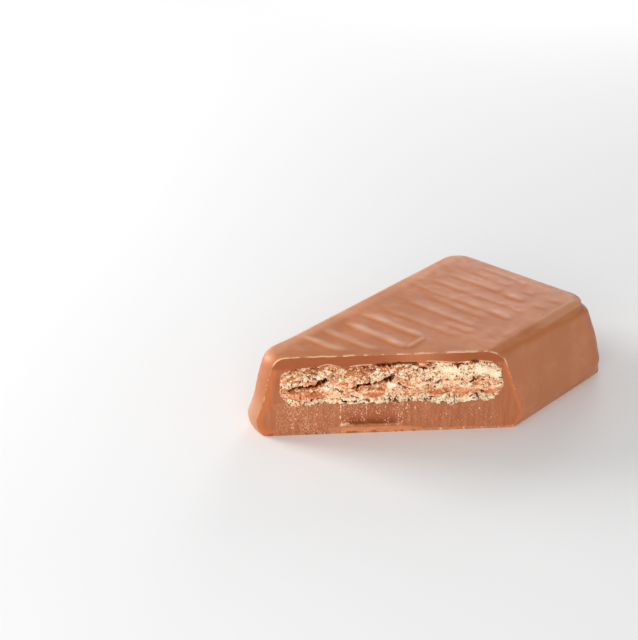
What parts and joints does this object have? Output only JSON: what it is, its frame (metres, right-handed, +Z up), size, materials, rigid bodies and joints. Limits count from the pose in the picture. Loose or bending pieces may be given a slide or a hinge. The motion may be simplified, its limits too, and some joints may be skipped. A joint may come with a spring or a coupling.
{
  "type": "chocolate wafer bar",
  "caption": "Small milk chocolate covered wafer bar with a rippled top, cut slantwise across one corner to show wafer sheets and cream.",
  "frame": {"origin": "centre of the bar's footprint box, on the surface that it lies on", "axes": "+Z up, +Y along the bar from the cut end to the whole end, +X across the bar towards the side that the cut shortens"},
  "size_m": [0.028, 0.0454, 0.0117],
  "materials": {
    "chocolate": "satin milk chocolate",
    "wafer": "dry, porous baked wafer",
    "cream": "crumbly cocoa cream"
  },
  "bodies": {
    "root": {"coating": "chocolate", "wafer_bottom": "wafer", "cream_lower": "cream", "wafer_middle": "wafer", "cream_upper": "cream", "wafer_top": "wafer"}
  },
  "joints": []
}
